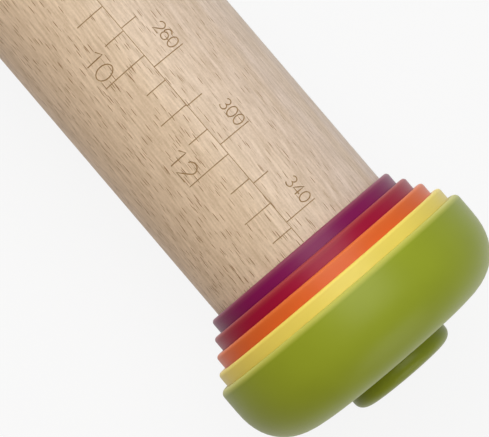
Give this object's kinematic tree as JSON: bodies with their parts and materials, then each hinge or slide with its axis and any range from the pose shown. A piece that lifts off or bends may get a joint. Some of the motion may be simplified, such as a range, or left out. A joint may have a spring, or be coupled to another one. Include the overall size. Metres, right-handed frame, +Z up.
{
  "type": "adjustable rolling pin",
  "caption": "Beech rolling pin with nested coloured thickness discs and a screw-in knob at each end, and an etched length scale.",
  "frame": {"origin": "middle of the pin, on its axis", "axes": "+X along the pin's axis towards the right end, +Z up as the pin lies on its two largest discs"},
  "size_m": [0.4188, 0.063, 0.063],
  "materials": {
    "beech": "plain oiled beech, turned smooth",
    "plum_plastic": "satin moulded",
    "raspberry_plastic": "satin moulded",
    "orange_plastic": "satin moulded",
    "lemon_plastic": "satin moulded",
    "lime_plastic": "satin moulded",
    "knob_plastic": "satin moulded",
    "screw_nylon": "natural moulded nylon",
    "insert_nylon": "dark moulded nylon"
  },
  "bodies": {
    "barrel": {"barrel": "beech", "right_threaded_insert": "insert_nylon", "left_threaded_insert": "insert_nylon"},
    "right_disc_2mm": {"right_disc_2mm": "plum_plastic"},
    "right_disc_4mm": {"right_disc_4mm": "raspberry_plastic"},
    "right_disc_6mm": {"right_disc_6mm": "orange_plastic"},
    "right_disc_8mm": {"right_disc_8mm": "lemon_plastic"},
    "right_disc_10mm": {"right_disc_10mm": "lime_plastic"},
    "right_knob": {"right_knob": "knob_plastic", "right_knob_screw": "screw_nylon"},
    "left_disc_2mm": {"left_disc_2mm": "plum_plastic"},
    "left_disc_4mm": {"left_disc_4mm": "raspberry_plastic"},
    "left_disc_6mm": {"left_disc_6mm": "orange_plastic"},
    "left_disc_8mm": {"left_disc_8mm": "lemon_plastic"},
    "left_disc_10mm": {"left_disc_10mm": "lime_plastic"},
    "left_knob": {"left_knob": "knob_plastic", "left_knob_screw": "screw_nylon"}
  },
  "joints": [
    {"name": "right_disc_2mm_slide", "type": "slide", "parent": "barrel", "child": "right_disc_2mm", "axis": [1, 0, 0], "range_m": [0, 0.025]},
    {"name": "right_disc_4mm_slide", "type": "slide", "parent": "right_disc_2mm", "child": "right_disc_4mm", "axis": [1, 0, 0], "range_m": [0, 0.025]},
    {"name": "right_disc_6mm_slide", "type": "slide", "parent": "right_disc_4mm", "child": "right_disc_6mm", "axis": [1, 0, 0], "range_m": [0, 0.025]},
    {"name": "right_disc_8mm_slide", "type": "slide", "parent": "right_disc_6mm", "child": "right_disc_8mm", "axis": [1, 0, 0], "range_m": [0, 0.025]},
    {"name": "right_disc_10mm_slide", "type": "slide", "parent": "right_disc_8mm", "child": "right_disc_10mm", "axis": [1, 0, 0], "range_m": [0, 0.02801]},
    {"name": "right_knob_turn", "type": "hinge", "parent": "right_disc_10mm", "child": "right_knob", "pos_m": [0.2057, 0, 0], "axis": [1, 0, 0], "range_deg": [0, 2520]},
    {"name": "left_disc_2mm_slide", "type": "slide", "parent": "barrel", "child": "left_disc_2mm", "axis": [-1, 0, 0], "range_m": [0, 0.025]},
    {"name": "left_disc_4mm_slide", "type": "slide", "parent": "left_disc_2mm", "child": "left_disc_4mm", "axis": [-1, 0, 0], "range_m": [0, 0.025]},
    {"name": "left_disc_6mm_slide", "type": "slide", "parent": "left_disc_4mm", "child": "left_disc_6mm", "axis": [-1, 0, 0], "range_m": [0, 0.025]},
    {"name": "left_disc_8mm_slide", "type": "slide", "parent": "left_disc_6mm", "child": "left_disc_8mm", "axis": [-1, 0, 0], "range_m": [0, 0.025]},
    {"name": "left_disc_10mm_slide", "type": "slide", "parent": "left_disc_8mm", "child": "left_disc_10mm", "axis": [-1, 0, 0], "range_m": [0, 0.02801]},
    {"name": "left_knob_turn", "type": "hinge", "parent": "left_disc_10mm", "child": "left_knob", "pos_m": [-0.2057, 0, 0], "axis": [-1, 0, 0], "range_deg": [0, 2520]}
  ],
  "couplings": [
    {"joint": "right_disc_10mm_slide", "follows": "right_knob_turn", "m_per_rad": 0.00063662},
    {"joint": "left_disc_10mm_slide", "follows": "left_knob_turn", "m_per_rad": 0.00063662}
  ]
}
